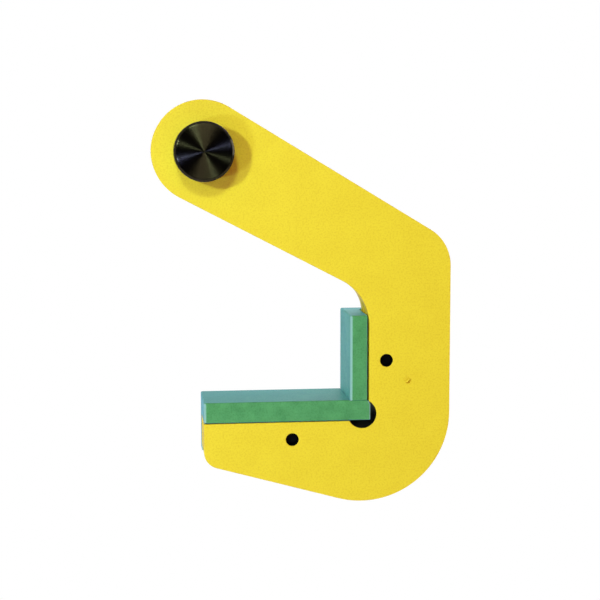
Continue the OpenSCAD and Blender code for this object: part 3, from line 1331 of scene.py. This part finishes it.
@dataclass
class LiftingPin:
    """The turned pin, its collar and the slotted pin that holds the collar."""

    steel: Material
    spring: Material
    shank_r: float = 13 * MM
    bore_r: float = 13.05 * MM
    bore_edge: float = 0.2 * MM
    chamfer: float = 1.5 * MM
    edge_r: float = 0.9 * MM
    mark_pitch: float = 0.45 * MM
    mark_depth: float = 0.008 * MM
    marks_inner_gap: float = 0.3 * MM
    marks_outer_gap: float = 0.4 * MM
    cross_r: float = 4 * MM
    cross_wall: float = 1.5 * MM
    cross_gap: float = 1.6 * MM
    cross_chamfer: float = 0.6 * MM
    hole_segments: int = 64
    arc_steps: int = 40
    segments: int = 180

    def build(self) -> Iterable[Piece]:
        """Makes the three pieces.

        Yields:
            The finished pieces.
        """
        yield self.pin()
        yield self.collar()
        yield self.cross_pin()

    def marks(self, start: float, end: float, y: float, inward: float) -> list[Rounding]:
        """Draws the fine grooves that facing on a lathe leaves.

        Args:
            start: Radius where they start.
            end: Radius where they end.
            y: The face's place.
            inward: 1 or -1, the way into the metal along Y.

        Returns:
            Corners for rounded(), with no rounding.
        """
        count = round(abs(end - start) / self.mark_pitch)
        half_step = (end - start) / count / 2
        marks = []
        for index in range(count):
            radius = start + (end - start) * index / count
            marks.append((radius, y, 0.0))
            marks.append((radius + half_step, y + inward * self.mark_depth, 0.0))
        return marks

    def pin(self) -> Piece:
        """Makes the pin: its head in front, and its shank through to the collar.

        Returns:
            The finished pin.
        """
        low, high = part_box("lifting_pin")
        head_r, seat_y = high[0], -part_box("pin_collar")[0][1]
        face_r, end_r = head_r - self.chamfer, self.shank_r - self.chamfer
        line = rounded([
            (0, low[1], 0),
            *self.marks(self.marks_inner_gap, face_r - self.marks_outer_gap, low[1], 1),
            (face_r, low[1], self.edge_r),
            (head_r, low[1] + self.chamfer, self.edge_r),
            (head_r, seat_y, self.edge_r),
            (self.shank_r, seat_y, 0),
            (self.shank_r, high[1] - self.chamfer, self.edge_r),
            (end_r, high[1], self.edge_r),
            *self.marks(end_r - self.marks_outer_gap, self.marks_inner_gap, high[1], -1),
            (0, high[1], 0),
        ])
        piece = Workpiece("lifting_pin_turned", turned(line, self.segments))
        piece.cut(self.cross_hole())
        return piece.dress(Body.PIN, Slot.TURNED_STEEL, [self.steel], "lifting_pin")

    def collar(self) -> Piece:
        """Makes the collar.

        Returns:
            The finished collar.
        """
        low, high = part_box("pin_collar")
        face_r, marks_end = high[0] - self.chamfer, self.bore_r + self.marks_inner_gap
        line = rounded([
            (self.bore_r, low[1], 0),
            (high[0], low[1], self.edge_r),
            (high[0], high[1] - self.chamfer, self.edge_r),
            (face_r, high[1], self.edge_r),
            *self.marks(face_r - self.marks_outer_gap, marks_end, high[1], -1),
            (self.bore_r, high[1] - self.bore_edge, 0),
        ])
        piece = Workpiece("pin_collar_turned", turned(line, self.segments, closed=True))
        piece.cut(self.cross_hole())
        return piece.dress(Body.PIN, Slot.TURNED_STEEL, [self.steel], "pin_collar")

    def cross_hole(self) -> Solid:
        """Makes the hole across the collar and the shank.

        Returns:
            The shape to cut away.
        """
        reach, middle_y = 2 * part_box("pin_collar")[1][0], centre_of("pin_collar").y
        turns = half_steps(self.hole_segments)
        section = [(middle_y + self.cross_r * math.cos(a), self.cross_r * math.sin(a)) for a in turns]
        return bar_along_x(section, -reach, reach)

    def cross_pin(self) -> Piece:
        """Makes the slotted pin, open to the rear and chamfered at its ends.

        Returns:
            The finished pin.
        """
        low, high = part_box("collar_cross_pin")
        middle_y, run = centre_of("pin_collar").y, 2 * self.cross_chamfer
        rings = []
        for x, thinner in (
            (low[0], self.cross_chamfer),
            (low[0] + run, 0),
            (high[0] - run, 0),
            (high[0], self.cross_chamfer),
        ):
            outside = self.section_arc(self.cross_r - TOUCH - thinner)
            inside = self.section_arc(self.cross_r - self.cross_wall)
            rings.append([Vector((x, middle_y + a, b)) for a, b in outside + inside[::-1]])
        piece = Workpiece("collar_cross_pin_slotted", loft(rings))
        return piece.dress(Body.PIN, Slot.SPRING_STEEL, [self.spring], "collar_cross_pin")

    def section_arc(self, radius: float) -> list[Point]:
        """Draws an arc of the slotted pin's section, from one side of its gap to the other.

        Args:
            radius: The arc's radius.

        Returns:
            Points as (y, z) from the pin's axis.
        """
        start = math.asin(self.cross_gap / 2 / radius)
        sweep, steps = math.tau - 2 * start, self.arc_steps
        angles = [start + sweep * step / steps for step in range(steps + 1)]
        return [(radius * math.cos(a), radius * math.sin(a)) for a in angles]


@dataclass
class RatingPlate:
    """The blank rating plate and its two drive rivets."""

    metal: Material
    rivet_metal: Material
    edge_r: float = 0.2 * MM
    edge_segments: int = 3
    frame_in: float = 2 * MM
    line_w: float = 0.35 * MM
    line_depth: float = 0.15 * MM
    rows: int = 4
    column_share: float = 1 / 6
    plate_w: float = 26 * MM
    field_l: float = 30 * MM
    rivet_r: float = 1.5 * MM
    rivet_head_r: float = 3 * MM
    rivet_head_h: float = 1.4 * MM
    rivet_segments: int = 48
    dome_steps: int = 8

    def rivet_places(self) -> list[Vector]:
        """Finds where the two rivets are.

        Returns:
            A point of each rivet's axis, the one nearer the eye first.
        """
        low, high = (Vector(corner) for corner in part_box("rating_plate_rivets"))
        head = self.rivet_head_r
        return [
            Vector((low.x + head, 0, high.z - head)),
            Vector((high.x - head, 0, low.z + head)),
        ]

    def build(self) -> Iterable[Piece]:
        """Makes the plate and its rivets.

        Yields:
            The finished pieces.
        """
        first, second = self.rivet_places()
        middle, way = (first + second) / 2, (second - first).normalized()
        up = Vector((-way.z, 0, way.x))
        face_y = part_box("rating_plate")[1][1]
        piece = Workpiece("rating_plate_engraved", solid_of("rating_plate"))
        piece.soften(lambda edge: self.edge_r, self.edge_segments)
        for along, rise, length, height in self.grooves():
            place = middle + way * along + up * rise
            rings = []
            for y in (face_y - self.line_depth, face_y + PAST):
                rings.append([
                    Vector((place.x, y, place.z)) + way * a * length / 2 + up * b * height / 2
                    for a, b in ((-1, -1), (1, -1), (1, 1), (-1, 1))
                ])
            piece.cut(loft(rings))
        yield piece.dress(Body.HOOK, Slot.PLATE_METAL, [self.metal], "rating_plate")
        yield self.rivets()

    def grooves(self) -> list[tuple[float, float, float, float]]:
        """Lays out the engraved frame and its empty fields.

        Returns:
            Each line, as (along, rise, length, height).
        """
        frame_l, frame_w, line_w = self.field_l, self.plate_w - 2 * self.frame_in, self.line_w
        rises = [frame_w * (row / self.rows - 0.5) for row in range(self.rows + 1)]
        lines = [(0, rise, frame_l, line_w) for rise in rises]
        lines += [(side * frame_l / 2, 0, line_w, frame_w + line_w) for side in (-1, 1)]
        lines.append((-frame_l * self.column_share, 0, line_w, frame_w))
        return lines

    def rivets(self) -> Piece:
        """Makes both rivets as one piece.

        Returns:
            The finished rivets.
        """
        low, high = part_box("rating_plate_rivets")
        base_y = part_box("rating_plate")[1][1]
        dome_r = (self.rivet_head_r ** 2 + self.rivet_head_h ** 2) / (2 * self.rivet_head_h)
        reach = math.asin(self.rivet_head_r / dome_r)
        line = [
            (0, low[1]),
            (self.rivet_r, low[1]),
            (self.rivet_r, base_y),
            (self.rivet_head_r, base_y),
        ]
        for step in range(1, self.dome_steps + 1):
            angle = reach * (1 - step / self.dome_steps)
            line.append((dome_r * math.sin(angle), high[1] - dome_r + dome_r * math.cos(angle)))
        both = bmesh.new()
        for place in self.rivet_places():
            one = turned(line, self.rivet_segments, (place.x, place.z))
            mesh = bpy.data.meshes.new("rivet")
            one.to_mesh(mesh)
            one.free()
            both.from_mesh(mesh)
        piece = Workpiece("rating_plate_rivets_domed", both)
        return piece.dress(Body.HOOK, Slot.RIVET_METAL, [self.rivet_metal], "rating_plate_rivets")


@dataclass(frozen=True)
class Lamp:
    """A softbox that points at the clamp."""

    name: str
    towards: Triple
    distance: float
    width: float
    height: float
    level: float
    colour: Triple = (1, 1, 1)
    spin: float = 0.0
    only_mirrored: bool = False

    def build(self, target: Vector) -> None:
        """Makes the lamp.

        Args:
            target: Where it points, and where its level is reached on a face square to it.
        """
        data = bpy.data.lights.new(self.name, "AREA")
        data.shape = "RECTANGLE"
        data.size, data.size_y = self.width, self.height
        data.color = self.colour
        data.energy = self.level * math.pi ** 2 * self.distance ** 2
        lamp = bpy.data.objects.new(self.name, data)
        back = Vector(self.towards).normalized()
        lamp.location = target + back * self.distance
        aim = back.to_track_quat("Z", "Y") @ Quaternion((0, 0, 1), math.radians(self.spin))
        lamp.rotation_euler = aim.to_euler()
        lamp.visible_camera = False
        lamp.visible_diffuse = not self.only_mirrored
        bpy.context.scene.collection.objects.link(lamp)


@dataclass
class Studio:
    """The camera, the lamps, the pale floor and the room."""

    target: Triple = (62.2 * MM, -17.5 * MM, -96.15 * MM)
    camera_distance: float = 0.8937
    yaw: float = math.radians(6.45)
    pitch: float = math.radians(-6.33)
    roll: float = math.radians(-0.095)
    lens: float = 82.44
    sensor: float = 36.0
    floor_z: float = -0.75
    floor_r: float = 1.25
    floor_segments: int = 96
    floor_colour: Colour = (0.8, 0.8, 0.8, 1)
    floor_roughness: float = 0.7
    floor_grain: float = 4 * MM
    floor_depth: float = 0.1 * MM
    floor_glow: float = 0.62
    dark_side: Colour = (0.32, 0.06, 0.07, 1)
    pit_side: Colour = (0.03, 0.025, 0.05, 1)
    backdrop_side: Colour = (0.66, 0.74, 1.08, 1)
    backdrop_range: Range = (-0.1, 0.4)
    mirror_range: Range = (-0.5, -0.05)
    white: Colour = (1, 1, 1, 1)
    # Each lamp's name, way from the target, distance, width, height, level, colour, spin in
    # degrees, and whether only mirroring surfaces see it
    lamps: tuple[Lamp, ...] = (
        Lamp("left_lamp", (-0.59, -0.829, -0.076), 1.164, 0.05, 0.05, 0.22, (0.65, 0.95, 1.5)),
        Lamp("upper_lamp", (-0.175, -0.858, 0.472), 1.199, 0.13, 0.13, 0.37, (0.75, 1.0, 0.8)),
        Lamp("upper_left_lamp", (-0.523, -0.814, 0.253), 1.195, 0.08, 0.08, 0.48, (0.75, 1.0, 0.8)),
        Lamp("top_card", (-0.005, -0.945, 0.327), 1.246, 0.26, 0.3, 0.14, (0.97, 1.0, 0.8), 0, True),
        Lamp("left_card", (-0.372, -0.928, -0.03), 1.234, 0.35, 0.044, 0.075, (0.8, 1.0, 3.0), 16, True),
        Lamp("right_softbox", (0.95, 0.12, 0.2), 1.5, 0.8, 0.8, 0.45),
        Lamp("rear_softbox", (0.35, 0.8, 0.5), 1.4, 0.9, 0.9, 0.35, (1.0, 0.94, 0.9)),
    )

    def build(self) -> None:
        """Makes everything."""
        self.camera()
        for lamp in self.lamps:
            lamp.build(Vector(self.target))
        self.floor()
        self.room()
        bpy.context.scene.view_settings.view_transform = "Standard"

    def camera(self) -> None:
        """Makes the camera at the photograph's place."""
        data = bpy.data.cameras.new("camera")
        data.lens, data.sensor_width = self.lens, self.sensor
        camera = bpy.data.objects.new("camera", data)
        turn = (
            Matrix.Rotation(-self.yaw, 4, "Z")
            @ Matrix.Rotation(math.pi / 2 + self.pitch, 4, "X")
            @ Matrix.Rotation(self.roll, 4, "Z")
        )
        back = Matrix.Translation((0, 0, self.camera_distance))
        camera.matrix_world = Matrix.Translation(Vector(self.target)) @ turn @ back
        bpy.context.scene.collection.objects.link(camera)
        bpy.context.scene.camera = camera

    def floor(self) -> None:
        """Makes the pale round floor, which glows a little so that it looks white."""
        shape = bmesh.new()
        bmesh.ops.create_circle(
            shape, cap_ends=True, segments=self.floor_segments, radius=self.floor_r
        )
        piece = Workpiece("floor", shape)
        piece.object.location = (self.target[0], 0, self.floor_z)
        sockets = {
            "Base Color": self.floor_colour,
            "Roughness": self.floor_roughness,
            "Emission Color": self.white,
        }
        shader = Shader("pale_floor", sockets)
        rays = shader.add("LightPath").outputs
        mirrored = shader.math("MAXIMUM", rays["Is Glossy Ray"], rays["Is Transmission Ray"])
        seen = shader.math("MAXIMUM", rays["Is Camera Ray"], mirrored)
        shader.relief(shader.grain(self.floor_grain), self.floor_depth)
        glow = shader.math("MULTIPLY", seen, self.floor_glow)
        piece.object.data.materials.append(shader.finish(Emission_Strength=glow))
        piece.object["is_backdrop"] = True

    def room(self) -> None:
        """Makes the room: a white backdrop behind the clamp, and dim walls in front of it."""
        world = bpy.data.worlds.new("room")
        bpy.context.scene.world = world
        nodes = Nodes(world)
        depth = nodes.axes(nodes.add("TexCoord").outputs["Generated"])[1]
        rays = nodes.add("LightPath").outputs
        front = nodes.blend(rays["Is Glossy Ray"], self.dark_side, self.pit_side)
        walls = nodes.blend(nodes.spread(depth, self.backdrop_range), front, self.backdrop_side)
        mirrored = nodes.math("MAXIMUM", rays["Is Glossy Ray"], rays["Is Transmission Ray"])
        backdrop = nodes.math("MULTIPLY", mirrored, nodes.spread(depth, self.mirror_range))
        seen = nodes.math("MAXIMUM", rays["Is Camera Ray"], backdrop)
        colour = nodes.blend(seen, walls, self.white)
        nodes.tree.links.new(colour, nodes.tree.nodes["Background"].inputs["Color"])


def write_sizes() -> None:
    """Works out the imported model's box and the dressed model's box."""
    boxes = {"cad": cad_box, "visual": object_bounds()}
    plain = {name: [list(corner) for corner in box] for name, box in boxes.items()}


def main() -> None:
    """Builds the clamp's pieces in order, then the studio."""
    logging.basicConfig(level=logging.INFO, format="%(name)s: %(message)s")
    paint = YellowPaint().material()
    weld_paint = WELD_PAINT.material()
    plastic = LinerPlastic().material()
    turned_steel = TurnedBlackSteel().material()
    screw_steel = SCREW_STEEL.material()
    spring_steel = SPRING_STEEL.material()
    plate_metal = PLATE_METAL.material()
    rivet_metal = RIVET_METAL.material()
    assemblies = (
        HookBody(paint, BoreWallShade().material()),
        SeamWeld("outer_seam_weld", weld_paint),
        SeamWeld("throat_seam_weld", weld_paint),
        JawLiner("jaw_liner", plastic),
        UprightLiner("upright_liner", plastic),
        LinerScrew("jaw_liner_screw", screw_steel),
        LinerScrew("upright_liner_screw", screw_steel),
        LiftingPin(turned_steel, spring_steel),
        RatingPlate(plate_metal, rivet_metal),
    )
    for assembly in assemblies:
        for piece in assembly.build():
            LOG.info("%s: %d faces", piece.name, len(piece.data.polygons))
    Studio().build()
    write_sizes()


if __name__ == "__main__":
    main()
